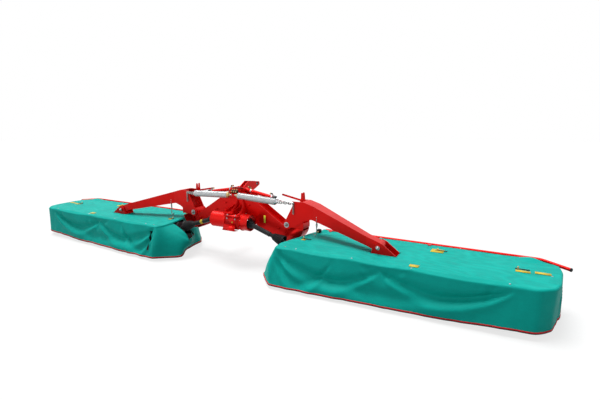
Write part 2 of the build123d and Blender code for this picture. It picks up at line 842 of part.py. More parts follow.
def main():
    os.makedirs("parts", exist_ok=True)
    save("headstock", headstock())
    save("main_gearbox", main_gearbox())
    save("drum_guards", drum_guards())
    save("gearbox_shield", gearbox_shield())
    save_pair("relief_spring", relief_spring())
    save_pair("relief_chain", relief_chain())
    save_pair("lift_barrel", lift_barrel())
    save_pair("lift_rod", lift_rod())
    save_pair("drive_outer", drive_outer())
    save_pair("drive_inner", drive_inner())
    save_pair("arm", arm())
    save_pair("hinge_pin", hinge_pin())
    save_pair("arm_chain", arm_chain())
    save_pair("canopy", canopy())
    save_pair("unit_frame", unit_frame())
    save_pair("front_guard", front_guard())
    save_pair("unit_gearbox", unit_gearbox())
    save_pair("cutterbar", cutterbar())
    for number in range(disc_count):
        save_pair(f"disc_{number + 1}", disc(number))


main()
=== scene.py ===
import bpy
import bmesh
import math
from mathutils import Matrix, Vector, noise


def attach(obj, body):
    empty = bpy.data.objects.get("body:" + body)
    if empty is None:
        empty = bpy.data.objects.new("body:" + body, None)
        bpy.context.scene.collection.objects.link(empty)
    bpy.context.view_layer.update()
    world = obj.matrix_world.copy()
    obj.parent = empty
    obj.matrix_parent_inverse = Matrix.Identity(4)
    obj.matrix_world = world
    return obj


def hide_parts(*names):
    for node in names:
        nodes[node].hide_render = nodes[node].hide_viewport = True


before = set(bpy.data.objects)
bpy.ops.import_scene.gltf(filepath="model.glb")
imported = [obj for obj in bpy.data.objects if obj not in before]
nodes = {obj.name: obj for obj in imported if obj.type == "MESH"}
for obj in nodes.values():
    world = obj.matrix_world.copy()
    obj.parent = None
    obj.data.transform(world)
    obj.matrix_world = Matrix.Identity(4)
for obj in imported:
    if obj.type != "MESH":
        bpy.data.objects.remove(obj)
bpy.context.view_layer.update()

scene = bpy.context.scene
SIDES = (("right", 1.0), ("left", -1.0))


# Camera at the photograph's angle, solved from mirrored pairs of points
cam_data = bpy.data.cameras.new("camera")
cam = bpy.data.objects.new("camera", cam_data)
scene.collection.objects.link(cam)
cam.location = (4.014, -5.109, 2.197)
PHOTO_WIDTH, PHOTO_HEIGHT = 600, 400
FOCAL_PIXELS = 403.3
CENTRE_PIXEL = (295.8, 197.7)
cam_data.sensor_width = 36
cam_data.lens = FOCAL_PIXELS / PHOTO_WIDTH * cam_data.sensor_width
cam_data.shift_x = (PHOTO_WIDTH / 2 - CENTRE_PIXEL[0]) / PHOTO_WIDTH
cam_data.shift_y = (CENTRE_PIXEL[1] - PHOTO_HEIGHT / 2) / PHOTO_WIDTH
cam_data.clip_end = 200
yaw, pitch = 0.51, 0.177
look = Vector((-math.sin(yaw) * math.cos(pitch), math.cos(yaw) * math.cos(pitch), -math.sin(pitch)))
cam.rotation_euler = look.to_track_quat("-Z", "Y").to_euler()
scene.camera = cam


# Materials
class Shader:
    """A short way to build one node material."""

    def __init__(self, name):
        self.mat = bpy.data.materials.new(name)
        self.mat.use_nodes = True
        self.tree = self.mat.node_tree
        self.bsdf = self.tree.nodes["Principled BSDF"]
        self.place = self.add("ShaderNodeTexCoord").outputs["Object"]

    def add(self, kind, **values):
        node = self.tree.nodes.new(kind)
        for key, value in values.items():
            if key in node.inputs.keys():
                node.inputs[key].default_value = value
            else:
                setattr(node, key, value)
        return node

    def link(self, out, into):
        self.tree.links.new(out, into)

    def noise(self, scale, detail=4.0, rough=0.5, stretch=None):
        node = self.add("ShaderNodeTexNoise", Scale=scale, Detail=detail, Roughness=rough)
        if stretch:
            mapping = self.add("ShaderNodeMapping", Scale=stretch)
            self.link(self.place, mapping.inputs["Vector"])
            self.link(mapping.outputs["Vector"], node.inputs["Vector"])
        else:
            self.link(self.place, node.inputs["Vector"])
        return node.outputs["Fac"]

    def ramp(self, fac, stops):
        node = self.add("ShaderNodeValToRGB")
        points = node.color_ramp.elements
        while len(points) < len(stops):
            points.new(0.5)
        for point, (at, colour) in zip(points, stops):
            point.position = at
            point.color = (*colour, 1)
        self.link(fac, node.inputs["Fac"])
        return node.outputs["Color"]

    def span(self, fac, low, high):
        """A 0 to 1 value carried to the span from low to high."""
        node = self.add("ShaderNodeMapRange")
        node.inputs["To Min"].default_value = low
        node.inputs["To Max"].default_value = high
        self.link(fac, node.inputs["Value"])
        return node.outputs["Result"]

    def mix(self, fac, a, b, kind="MIX"):
        node = self.add("ShaderNodeMix", data_type="RGBA", blend_type=kind)
        for value, socket in ((fac, node.inputs[0]), (a, node.inputs[6]), (b, node.inputs[7])):
            if isinstance(value, (float, int)):
                socket.default_value = value
            elif isinstance(value, tuple):
                socket.default_value = (*value, 1)
            else:
                self.link(value, socket)
        return node.outputs[2]

    def bump(self, height, strength, distance, after=None):
        """Relief from a height, on top of another relief if one is given."""
        node = self.add("ShaderNodeBump", Strength=strength, Distance=distance)
        self.link(height, node.inputs["Height"])
        if after is not None:
            self.link(after, node.inputs["Normal"])
        return node.outputs["Normal"]

    def set(self, **values):
        for key, value in values.items():
            socket = self.bsdf.inputs[key.replace("_", " ")]
            if isinstance(value, bpy.types.NodeSocket):
                self.link(value, socket)
            else:
                socket.default_value = (*value, 1) if isinstance(value, tuple) and len(value) == 3 else value
        return self.mat


def paint(name, colour, dark, rough, flake):
    """Gloss paint with a little metal in it, slightly worn and dusty."""
    s = Shader(name)
    base = s.ramp(s.noise(3.0, 5.0), [(0.3, dark), (0.65, colour)])
    grime = s.ramp(s.noise(26.0, 8.0, 0.7), [(0.66, (1, 1, 1)), (0.82, (0.78, 0.74, 0.72))])
    wear = s.noise(11.0, 6.0, 0.6)
    normal = s.bump(s.noise(420.0, 2.0), 0.05, 0.0006)
    return s.set(Base_Color=s.mix(0.5, base, grime, "MULTIPLY"),
                 Roughness=s.span(wear, rough - 0.07, rough + 0.13), Metallic=flake,
                 Specular_IOR_Level=0.14, Coat_Weight=0.03, Coat_Roughness=0.12, Normal=normal)


def canvas_cloth(name, colour, dark):
    """Coated canvas: a woven grain, faded patches and fine crumples."""
    s = Shader(name)
    weave = []
    for axis in ("X", "Z"):
        wave = s.add("ShaderNodeTexWave", wave_type="BANDS", bands_direction=axis,
                     Scale=230.0, Distortion=0.6)
        s.link(s.place, wave.inputs["Vector"])
        weave.append(wave.outputs["Fac"])
    cross = s.mix(0.5, weave[0], weave[1])
    cloud = s.noise(2.2, 6.0, 0.6)
    base = s.ramp(cloud, [(0.25, dark), (0.6, colour)])
    fade = s.ramp(s.noise(9.0, 8.0, 0.65, (1.0, 1.0, 3.0)), [(0.35, (0.86, 0.9, 0.9)), (0.7, (1, 1, 1))])
    shade = s.mix(0.14, s.mix(0.7, base, fade, "MULTIPLY"), cross, "OVERLAY")
    crumple = s.bump(s.noise(7.0, 7.0, 0.62), 0.35, 0.012)
    fine = s.bump(cross, 0.25, 0.0008, crumple)
    return s.set(Base_Color=shade, Roughness=s.span(s.noise(14.0), 0.5, 0.68), Normal=fine,
                 Specular_IOR_Level=0.12)


def metal(name, colour, rough, grain=60.0, metallic=1.0):
    s = Shader(name)
    fleck = s.noise(grain, 6.0, 0.6, (1.0, 1.0, 1.0))
    darker = tuple(c * 0.72 for c in colour)
    base = s.ramp(fleck, [(0.3, darker), (0.68, colour)])
    normal = s.bump(fleck, 0.12, 0.0006)
    return s.set(Base_Color=base, Metallic=metallic, Normal=normal,
                 Roughness=s.span(s.noise(18.0, 5.0), rough - 0.06, rough + 0.12))


def plastic(name, colour, rough, lumps=300.0, depth=0.0005):
    s = Shader(name)
    lighter = tuple(min(1.0, c * 1.7 + 0.01) for c in colour)
    base = s.ramp(s.noise(8.0, 7.0, 0.65), [(0.35, colour), (0.75, lighter)])
    return s.set(Base_Color=base, Roughness=s.span(s.noise(30.0, 5.0), rough - 0.08, rough + 0.1),
                 Specular_IOR_Level=0.2, Normal=s.bump(s.noise(lumps, 3.0), 0.25, depth))


RED = paint("red_paint_gloss", (0.8, 0.006, 0.004), (0.7, 0.004, 0.003), 0.34, 0.45)
RED_CAST = paint("red_paint_on_casting", (0.74, 0.008, 0.006), (0.6, 0.005, 0.005), 0.44, 0.4)
CANVAS = canvas_cloth("coated_canvas", (0.002, 0.52, 0.44), (0.001, 0.45, 0.38))
PIPING = plastic("red_binding_tape", (0.62, 0.015, 0.02), 0.5, 500.0)
BINDING = plastic("canvas_binding", (0.0, 0.27, 0.225), 0.6, 400.0)
SIGN = plastic("blank_yellow_sign", (0.95, 0.78, 0.05), 0.45, 600.0, 0.0002)
RUBBER = plastic("black_rubber", (0.012, 0.012, 0.013), 0.55)
PLASTIC = plastic("black_guard_plastic", (0.016, 0.016, 0.018), 0.38)
ZINC = metal("zinc_plate", (0.5, 0.52, 0.54), 0.32)
SPRING = metal("bright_spring_steel", (0.64, 0.66, 0.67), 0.3, metallic=0.7)
CHAIN = metal("chain_steel", (0.3, 0.3, 0.29), 0.42)
CHROME = metal("hard_chrome", (0.9, 0.91, 0.93), 0.09, 14.0)
BRASS = metal("yellow_passivated_brass", (0.62, 0.44, 0.2), 0.34)
DARK = metal("dark_steel", (0.1, 0.1, 0.11), 0.42, metallic=0.5)
YELLOW = plastic("blank_yellow_plate", (0.7, 0.47, 0.04), 0.45, 600.0, 0.0002)
STEEL_BLACK = plastic("black_fitting", (0.02, 0.02, 0.022), 0.3)


def dress(name, mat):
    """Give a solid's mesh one material."""
    mesh = nodes[name].data
    if mesh.materials:
        for index in range(len(mesh.materials)):
            mesh.materials[index] = mat
    else:
        mesh.materials.append(mat)


# Solids that no piece of this script stands for
DISCS_PER_UNIT = 8
dress("headstock", RED)
for side, _ in SIDES:
    for part, mat in (("arm", RED), ("unit_frame", RED), ("front_guard", RED), ("lift_barrel", RED),
                      ("lift_rod", CHROME), ("hinge_pin", ZINC), ("unit_gearbox", DARK),
                      ("cutterbar", DARK)):
        dress(f"{part}_{side}", mat)
    for number in range(1, DISCS_PER_UNIT + 1):
        dress(f"disc_{number}_{side}", DARK)


# Mesh helpers
def put(name, mesh, mat, smooth=True):
    obj = bpy.data.objects.new(name, mesh)
    scene.collection.objects.link(obj)
    mesh.materials.append(mat)
    if smooth:
        for face in mesh.polygons:
            face.use_smooth = True
    return obj


def from_bm(name, bm, mat, smooth=True):
    bmesh.ops.recalc_face_normals(bm, faces=bm.faces)
    mesh = bpy.data.meshes.new(name)
    bm.to_mesh(mesh)
    bm.free()
    return put(name, mesh, mat, smooth)


def joined(name, objs):
    """One object out of several meshes."""
    bm = bmesh.new()
    slots = []
    for o in objs:
        mesh = o.data.copy()
        mesh.transform(o.matrix_world)
        mat = o.data.materials[0]
        if mat not in slots:
            slots.append(mat)
        start = len(bm.faces)
        bm.from_mesh(mesh)
        bm.faces.ensure_lookup_table()
        for face in bm.faces[start:]:
            face.material_index = slots.index(mat)
        bpy.data.meshes.remove(mesh)
        bpy.data.objects.remove(o)
    mesh = bpy.data.meshes.new(name)
    bm.to_mesh(mesh)
    bm.free()
    obj = bpy.data.objects.new(name, mesh)
    scene.collection.objects.link(obj)
    for mat in slots:
        mesh.materials.append(mat)
    return obj


def mirrored(v, s):
    """A right-hand point or direction carried to the side s."""
    return Vector((v[0] * s, v[1], v[2]))


def along(direction):
    """Rotation that carries +Z to a direction."""
    return Vector(direction).normalized().to_track_quat("Z", "Y").to_matrix().to_4x4()


def lathe(name, origin, direction, profile, mat, segments=32, smooth=True):
    """Turned piece: (distance along the axis, radius) pairs."""
    bm = bmesh.new()
    rings = []
    for distance, radius in profile:
        if radius == 0:
            rings.append([bm.verts.new((0, 0, distance))])
            continue
        rings.append([bm.verts.new((radius * math.cos(2 * math.pi * k / segments),
                                    radius * math.sin(2 * math.pi * k / segments), distance))
                      for k in range(segments)])
    for low, high in zip(rings, rings[1:]):
        for k in range(segments):
            after = (k + 1) % segments
            ring = [low[k % len(low)], low[after % len(low)], high[after % len(high)], high[k % len(high)]]
            ring = list(dict.fromkeys(ring))
            if len(ring) > 2:
                bm.faces.new(ring)
    bm.transform(Matrix.Translation(Vector(origin)) @ along(direction))
    obj = from_bm(name, bm, mat, smooth)
    if smooth:
        crisp(obj)
    return obj


def crisp(obj, degrees=38):
    """Keep edges sharper than this angle sharp."""
    bm = bmesh.new()
    bm.from_mesh(obj.data)
    limit = math.radians(degrees)
    for edge in bm.edges:
        edge.smooth = not (len(edge.link_faces) == 2 and edge.calc_face_angle(0) > limit)
    bm.to_mesh(obj.data)
    bm.free()
    return obj


def tube(name, points, radius, mat, closed=False, smooth=True):
    """Round bar along points, as a mesh. An open one may be a smooth curve; a closed one is straight runs."""
    smooth = smooth and not closed
    curve = bpy.data.curves.new(name, "CURVE")
    curve.dimensions = "3D"
    curve.bevel_depth = radius
    curve.bevel_resolution = 2
    curve.use_fill_caps = not closed
    spline = curve.splines.new("NURBS" if smooth else "POLY")
    spline.points.add(len(points) - 1)
    for spot, point in zip(spline.points, points):
        spot.co = (*point, 1)
    spline.use_cyclic_u = closed
    if smooth:
        spline.order_u = 3
        spline.use_endpoint_u = True
        spline.resolution_u = 4
    holder = bpy.data.objects.new(name, curve)
    scene.collection.objects.link(holder)
    bpy.context.view_layer.update()
    mesh = bpy.data.meshes.new_from_object(holder.evaluated_get(bpy.context.evaluated_depsgraph_get()))
    mesh.name = name
    bpy.data.objects.remove(holder)
    bpy.data.curves.remove(curve)
    mesh.materials.clear()
    return put(name, mesh, mat)


def rounded_plate(name, corners, normal_up, thick, mat, bevel=0.002):
    """Thin plate from an ordered list of 3-D corners, with softened edges."""
    bm = bmesh.new()
    base = [bm.verts.new(c) for c in corners]
    face = bm.faces.new(base)
    step = Vector(normal_up).normalized() * thick
    grown = bmesh.ops.extrude_face_region(bm, geom=[face])
    verts = [v for v in grown["geom"] if isinstance(v, bmesh.types.BMVert)]
    bmesh.ops.translate(bm, verts=verts, vec=step)
    bmesh.ops.recalc_face_normals(bm, faces=bm.faces)
    bmesh.ops.bevel(bm, geom=list(bm.edges), offset=bevel, segments=2, affect="EDGES",
                    clamp_overlap=True)
    return from_bm(name, bm, mat)


def bolt(name, at, direction, r, mat, washer=True):
    """Hexagon head with its washer and stud end, seated at a point. Sizes are shares of the radius r."""
    objs = []
    if washer:
        objs.append(lathe(name + "_w", at, direction, [
            (-0.001, 0), (-0.001, r * 1.5), (r * 0.2, r * 1.5), (r * 0.2, r * 0.8)], mat, 24))
    bm = bmesh.new()
    made = bmesh.ops.create_cone(bm, cap_ends=True, segments=6, radius1=r, radius2=r, depth=r * 1.1)
    bmesh.ops.translate(bm, verts=made["verts"], vec=(0, 0, r * 0.7))
    bmesh.ops.bevel(bm, geom=list(bm.edges), offset=r * 0.12, segments=2, affect="EDGES")
    bm.transform(Matrix.Translation(Vector(at)) @ along(direction))
    objs.append(from_bm(name + "_h", bm, mat))
    stud = Vector(at) + Vector(direction).normalized() * r * 1.2
    objs.append(lathe(name + "_s", stud, direction, [
        (0, 0), (0, r * 0.5), (r * 0.55, r * 0.5), (r * 0.7, r * 0.38), (r * 0.7, 0)], mat, 16))
    return joined(name, objs)


def own(obj, body, slot, *replaced):
    """Body of a piece, and the solids that it stands for; the slot is not used."""
    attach(obj, body)
    if replaced:
        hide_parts(*replaced)


def group(name, parts, body, slot, *replaced):
    """One piece out of several meshes, on its body."""
    own(joined(name, parts), body, slot, *replaced)


# Canvas cover: one curved sheet per unit, rounded at the edge of its roof and hanging to its hem.
# Both outlines run from the outer end over the front, the inner end and the rear, back to the start.
ROOF = [(4.505, -.24), (4.54, .18), (4.52, .4), (4.17, .56), (1.36, .56), (1.262, .34),
        (1.11, -.4), (1.145, -.605), (4.07, -.556), (4.3, -.548), (4.452, -.42)]
HEM = [(4.505, -.17), (4.56, .18), (4.55, .42), (4.19, .64), (1.3, .64), (1.03, .33),
       (.85, -.44), (1.13, -.74), (4.09, -.585), (4.3, -.555), (4.45, -.41)]
ROOF_Z, HEM_Z = 0.5595, 0.062
# Columns of cloth from each corner of the outline to the next, and the numbers of some sides
COLUMNS = (34, 9, 9, 150, 9, 34, 9, 132, 6, 6, 6)
STARTS = [sum(COLUMNS[:k]) for k in range(len(COLUMNS) + 1)]
OUTER, FRONT, FRONT_CORNER, INNER, REAR, REAR_END = 0, 3, 4, 5, 7, 8
# Width over which a corner of the outline is rounded, and how many columns that reaches
CORNER, CORNER_REACH = 0.045, 12
# Rounded edge between roof and skirt, in rows of cloth, and rows of the skirt below it
SHOULDER, SHOULDER_ROWS, SKIRT_ROWS = 0.026, 5, 30
# Humps where the frame's posts push the roof up: x, y, half widths, height
HUMPS = ((4.23, 0.5, 0.11, 0.07, 0.03), (1.4, 0.505, 0.05, 0.06, 0.026),
         (2.83, -0.535, 0.03, 0.04, 0.01))
# Open slit in the left cover's rear skirt: its columns counted from the corner, and its rows
SLIT, SLIT_ROWS = 5, range(10, 30)
# Low edge of each cover's shaft hole; then the box that cuts it, and the box of the arm's slot
INLET_LOW = {1: 0.23, -1: 0.3}
INLET = (0.5, 1.3, -0.23, 0.07)
INLET_TOP = 0.541
ARM_SLOT = (2.385, 2.736, -0.226, -0.006, 0.5, 0.7)
# x of the middle of each open edge, in the order of the numbers in the trims' names
EDGE_PLACES = {1: (2.706, 1.074, 2.56), -1: (-2.56, -2.668, -1.0, -1.27)}
# Swags of a side: how deep, then where each starts and ends, how low it sags, its share
SWAGS = {
    REAR: (0.052, ((0.015, 0.52, 0.62, 0.9), (0.0, 0.3, 0.8, 0.7), (0.5, 1.0, 0.5, 1.0),
                   (0.02, 1.0, 0.7, 0.5), (0.42, 0.62, 0.16, 0.25))),
    FRONT: (0.045, ((0.0, 0.45, 0.6, 1.0), (0.42, 1.0, 0.55, 1.0), (0.2, 0.8, 0.8, 0.5))),
    OUTER: (0.022, ((0.0, 1.0, 0.7, 1.0),)),
    INNER: (0.022, ((0.0, 1.0, 0.6, 1.0),))}
# Pleats of the long sides: place along the side, lean, size
PLEATS = ((0.03, 0.05, 0.022), (0.3, 0.03, 0.006), (0.545, -0.04, 0.012), (0.62, 0.05, 0.007),
          (0.93, -0.06, 0.016))
# Sags of the roof's rear edge between its fasteners: from, to, depth
EDGE_SAGS = ((0.0, 0.09, 0.004), (0.09, 0.37, 0.014), (0.37, 0.63, 0.012), (0.63, 1.0, 0.02))
# Left cover beyond this x is like the right one; nearer the middle it bulges round its drive shaft
BULGE_END = 1.6
# That bulge and the swing of its hem: size, middle and half width along Y
BULGE, FLARE = (0.19, -0.17, 0.22), (0.08, -0.42, 0.15)
# Share of the roof's depth that its rear edge pulls down as it sags
SAG_REACH = 0.035
# Each cover's own place in the noise that crumples it
SEED = {1: 3.1, -1: 8.7}


def soft_step(value):
    value = min(1.0, max(0.0, value))
    return value * value * (3 - 2 * value)


def bell(gap):
    return math.exp(-gap ** 2)


def soft_outline(points):
    """Closed outline with rounded corners, one point per column of cloth."""
    dense = []
    for k, count in enumerate(COLUMNS):
        a, b = Vector(points[k]), Vector(points[(k + 1) % len(points)])
        dense += [a.lerp(b, step / count) for step in range(count)]
    rounded = []
    size = len(dense)
    for i, here in enumerate(dense):
        total, weight = Vector((0, 0)), 0.0
        for j in range(i - CORNER_REACH, i + CORNER_REACH + 1):
            other = dense[j % size]
            span = (dense[(j + 1) % size] - other).length + (other - dense[(j - 1) % size]).length
            w = bell((other - here).length / CORNER) * 0.5 * span
            total += other * w
            weight += w
        rounded.append(total / weight)
    return rounded


def flared(point, s):
    """The left cover's inner hem swings out beside its drive shaft."""
    if s > 0 or point.x > BULGE_END:
        return point
    size, middle, width = FLARE
    return Vector((point.x - size * bell((point.y - middle) / width), point.y))


def belly(x, y, t, s):
    """How far the left cover's inner flap bulges over the drive shaft's end."""
    if s > 0 or x > BULGE_END:
        return 0.0
    size, middle, width = BULGE
    return size * bell((y - middle) / width) * soft_step((1.5 - x) / 0.3) * math.sin(math.pi * t) ** 0.9


def coons(loop, corners):
    """Grid over a closed loop, from its four corner indices."""
    size = len(loop)

    def side(a, b):
        return [loop[k % size] for k in range(a, (b if b > a else b + size) + 1)]

    c0, c1, c2, c3 = corners
    outer, rear = side(c0, c1), side(c3, c0)
    front, inner = side(c1, c2)[::-1], side(c2, c3)[::-1]
    n, m = len(rear) - 1, len(outer) - 1
    grid = []
    for i in range(n + 1):
        u = i / n
        column = []
        for j in range(m + 1):
            v = j / m
            p = rear[i] * (1 - v) + front[i] * v + inner[j] * (1 - u) + outer[j] * u
            p = p - (rear[0] * (1 - u) * (1 - v) + rear[n] * u * (1 - v)
                     + front[0] * (1 - u) * v + front[n] * u * v)
            column.append(p)
        grid.append(column)
    return grid


def ripple(x, y, z, seed):
    return noise.noise(Vector((x, y, z + seed)))


def crumple(p, z, t, seed):
    """Waves and small crumples of the skirt, deeper towards the hem (t = 1)."""
    wave = ripple(p.x * 2.6, p.y * 2.6, z * 0.9, seed)
    wave += 0.5 * ripple(p.x * 6.5, p.y * 6.5, z * 2.2, seed + 5)
    fine = ripple(p.x * 15, p.y * 15, z * 9, seed + 9)
    return 0.012 * t ** 0.8 * (0.6 - wave) + 0.0035 * fine * t


def roof_grid(bm, inner_loop, corners):
    """Flat middle of the roof; gives the loop of its rim's vertices."""
    grid = coons(inner_loop, corners)
    c1, c2, c3 = corners[1:]
    place = {}
    n, m = len(grid) - 1, len(grid[0]) - 1
    for i, column in enumerate(grid):
        for j, p in enumerate(column):
            fade = max(0.0, 1 - j / m / SAG_REACH) ** 2
            droop = edge_sag(min(c3 + i, STARTS[REAR_END])) * fade
            place[i, j] = bm.verts.new((p.x, p.y, ROOF_Z - droop))
    for i in range(n):
        for j in range(m):
            bm.faces.new((place[i, j], place[i + 1, j], place[i + 1, j + 1], place[i, j + 1]))
    ring = []
    for k in range(len(inner_loop)):
        if k <= c1:
            ring.append(place[n, k])
        elif k <= c2:
            ring.append(place[n - (k - c1), m])
        elif k <= c3:
            ring.append(place[0, m - (k - c2)])
        else:
            ring.append(place[k - c3, 0])
    return ring


def cover(side, s):
    roof = soft_outline(ROOF)
    hem = [flared(p, s) for p in soft_outline(HEM)]
    size = len(roof)
    seed = SEED[s]
    normals = []
    for k in range(size):
        run = roof[(k + 1) % size] - roof[k - 1]
        normals.append(Vector((run.y, -run.x)).normalized())
    inner_loop = [roof[k] - normals[k] * SHOULDER for k in range(size)]
    bm = bmesh.new()
    last = roof_grid(bm, inner_loop, [STARTS[OUTER], STARTS[FRONT], STARTS[FRONT_CORNER], STARTS[REAR]])

    for step in range(1, SHOULDER_ROWS + SKIRT_ROWS + 1):
        fresh = []
        for k in range(size):
            if step <= SHOULDER_ROWS:
                turn = math.radians(90 * step / SHOULDER_ROWS)
                p = inner_loop[k] + normals[k] * (SHOULDER * math.sin(turn))
                z = ROOF_Z - SHOULDER * (1 - math.cos(turn)) - edge_sag(k)
            else:
                t = (step - SHOULDER_ROWS) / SKIRT_ROWS
                p = roof[k].lerp(hem[k], t)
                z = (ROOF_Z - SHOULDER) * (1 - t) + hem_height(hem[k], s) * t
                p = p - normals[k] * (drape(k, t, s) + crumple(p, z, t, seed))
                p.x -= belly(p.x, p.y, t, s)
                z -= edge_sag(k) * (1 - t)
            fresh.append(bm.verts.new((p.x, p.y, z)))
        for k in range(size):
            after = (k + 1) % size
            if s < 0 and k - STARTS[REAR] - SLIT in (0, 1) and step in SLIT_ROWS:
                continue
            bm.faces.new((last[k], last[after], fresh[after], fresh[k]))
        last = fresh

    for vert in bm.verts:
        x, y, z = vert.co
        if z > ROOF_Z - 0.025:
            lift = 0.004 * ripple(x * 1.7, y * 2.3, 0.0, seed) + 0.0016 * ripple(x * 1.1, y * 13.0, 0.0, seed)
            vert.co.z = z - 0.0015 + lift
        if z > ROOF_Z - 0.1:
            for bx, by, wx, wy, high in HUMPS:
                vert.co.z += high * math.exp(-((x - bx) / wx) ** 2 - ((y - by) / wy) ** 2)
    bmesh.ops.recalc_face_normals(bm, faces=bm.faces)
    cut_box(bm, (*INLET, INLET_LOW[s], INLET_TOP))
    cut_box(bm, ARM_SLOT)
    if s < 0:
        bmesh.ops.scale(bm, vec=(-1, 1, 1), verts=bm.verts)
    edges = sorted(open_edges(bm), key=lambda line: edge_number(line, s))
    sheet = from_bm(f"cover_{side}", bm, CANVAS)
    body = f"unit_{side}"
    own(sheet, body, "canvas", f"canopy_{side}")
    trims = [edge_trim(side, s, number, line) for number, line in enumerate(edges)]
    for trim in trims:
        own(trim, body, "canvas")
    area = sum(f.area for f in sheet.data.polygons)
    print("cover", side, "area", round(area, 3), "trims", len(trims))


def edge_number(line, s):
    """The number of an open edge goes by its place, so that it is the same in each run."""
    middle = (min(p.x for p in line) + max(p.x for p in line)) / 2
    return min(range(len(EDGE_PLACES[s])), key=lambda number: abs(EDGE_PLACES[s][number] - middle))


def edge_trim(side, s, number, line):
    """Red piping along the hem, over a black tube that is painted shadow under the hem, or the binding of an
    opening.
    """
    if sum(p.z for p in line) / len(line) > HEM_Z + 0.088:
        return tube(f"cover_binding_{number}_{side}", line, 0.004, BINDING, closed=True)
    name = f"cover_hem_{side}"
    piping = tube(name, line, 0.0075, PIPING, closed=True)
    # The black tube under the piping is painted shadow: a dark line where the hem's underside is in shade.
    under = [Vector((p.x - 0.004 * s, p.y * 0.99, p.z - 0.014)) for p in line]
    return joined(name, [piping, tube(name + "_edge", under, 0.008, RUBBER, closed=True)])


def edge_sag(k):
    """The rear edge of the roof sags between its fasteners."""
    if not STARTS[REAR] <= k < STARTS[REAR_END]:
        return 0.0
    a = (k - STARTS[REAR]) / COLUMNS[REAR]
    for left, right, low in EDGE_SAGS:
        if left <= a < right:
            return low * math.sin(math.pi * (a - left) / (right - left))
    return 0.0


def hem_height(point, s):
    """The hem lifts a little at the outer end, and at the inner end over the shaft."""
    lift = 0.03 * soft_step((point.x - 3.2) / 1.0)
    lift += 0.045 * soft_step((1.25 - point.x) / 0.3) * soft_step((point.y + 0.55) / 0.4)
    return HEM_Z + lift + 0.006 * ripple(point.x * 3.1, point.y * 3.1, 0.0, 4.4 + s)


def swagged(k, t):
    """Swags hung between fasteners, and short pleats, at one column and height."""
    depth = 0.0
    for side, (pull, swags) in SWAGS.items():
        if not STARTS[side] <= k < STARTS[side + 1]:
            continue
        a = (k - STARTS[side]) / COLUMNS[side]
        for left, right, low, share in swags:
            if not left < a < right:
                continue
            arch = math.sin(math.pi * (a - left) / (right - left))
            valley = 0.03 + low * arch ** 0.75
            width = 0.05 + 0.1 * arch
            fade = min(1.0, arch * 2.2) * share * pull
            depth += fade * bell((t - valley) / width)
            depth -= 0.45 * fade * bell((t - valley - 1.7 * width) / (1.1 * width))
        if side in (FRONT, REAR):
            for place, lean, size in PLEATS:
                depth += size * bell((a - place - lean * t) / 0.012) * bell((t - 0.22) / 0.26)
    return depth


def drape(k, t, s):
    """How far the hanging cloth pulls in at one column, from the roof's edge (t = 0) to the hem (t = 1)."""
    seam = 0.006 * bell((k - STARTS[REAR_END] - 1) / 0.8) * min(1.0, t * 6)
    lip = 0.0
    if s < 0:
        lip = 0.006 * bell((k - STARTS[REAR] - SLIT - 1) / 2.2)
        lip *= soft_step((t - 0.05) / 0.2) * soft_step((0.98 - t) / 0.3)
    inner_end = soft_step((k - STARTS[INNER] - 4) / 14) * soft_step((STARTS[REAR] + 4 - k) / 6)
    hollow = 0.055 * inner_end * math.sin(math.pi * min(1.0, t * 1.1)) ** 0.8 * (0.75 if s > 0 else 1.0)
    return swagged(k, t) + seam + lip - hollow


def cut_box(bm, box):
    """Cut a clean opening out of the sheet."""
    spans = (box[0:2], box[2:4], box[4:6])

    def inside(face, margin=0.0):
        middle = face.calc_center_median()
        return all(low - margin < c < high + margin for c, (low, high) in zip(middle, spans))

    for axis, span in enumerate(spans):
        normal = [float(k == axis) for k in range(3)]
        for place in span:
            geom = dict.fromkeys(f for f in bm.faces if inside(f, 0.06))
            for f in list(geom):
                geom.update(dict.fromkeys([*f.edges, *f.verts]))
            bmesh.ops.bisect_plane(bm, geom=list(geom), plane_co=[place * n for n in normal], plane_no=normal,
                                   dist=1e-5)
    bmesh.ops.delete(bm, geom=[f for f in bm.faces if inside(f)], context="FACES")


def open_edges(bm):
    """Ordered points of each open edge of the sheet."""
    left = dict.fromkeys(e for e in bm.edges if len(e.link_faces) == 1)
    lines = []
    while left:
        edge = next(iter(left))
        del left[edge]
        start, here = edge.verts
        points = [start.co.copy(), here.co.copy()]
        while here != start:
            following = [e for e in here.link_edges if e in left]
            if not following:
                break
            del left[following[0]]
            here = following[0].other_vert(here)
            points.append(here.co.copy())
        if points[0] == points[-1]:
            points.pop()
        if len(points) > 8:
            lines.append(points)
    return lines


def lining(side, s):
    """Black rubber sleeve behind the shaft's hole, and the flap behind the slit."""
    low, roof = INLET_LOW[s] - 0.006, 0.536
    rear, front, back = -0.236, 0.076, 1.33
    bottom, far, top = (0.975, 1.025, 1.15) if s > 0 else (0.775, 0.945, 1.13)
    walls = [
        [(bottom, rear, low), (back, rear, low), (back, front, low), (far, front, low)],
        [(bottom + 0.03, rear, low), (top, rear, roof), (back, rear, roof), (back, rear, low)],
        [(far + 0.02, front, low), (top + 0.05, front, roof), (back, front, roof), (back, front, low)],
        [(back, rear, low), (back, rear, roof), (back, front, roof), (back, front, low)]]
    parts = []
    for corners in walls:
        a, b, c = (Vector(v) for v in corners[:3])
        parts.append(rounded_plate("lining", [mirrored(v, s) for v in corners],
                                   mirrored((b - a).cross(c - b), s), 0.004, RUBBER, 0.001))
    if s < 0:
        flap = [(1.16, -0.56, 0.49), (1.49, -0.52, 0.49), (1.49, -0.59, 0.08), (1.12, -0.64, 0.08)]
        parts.append(rounded_plate("flap", [mirrored(v, s) for v in flap], (0, 1, 0), 0.003, RUBBER, 0.001))
    group(f"inlet_lining_{side}", parts, f"unit_{side}", "black_plastic")


for side, s in SIDES:
    cover(side, s)


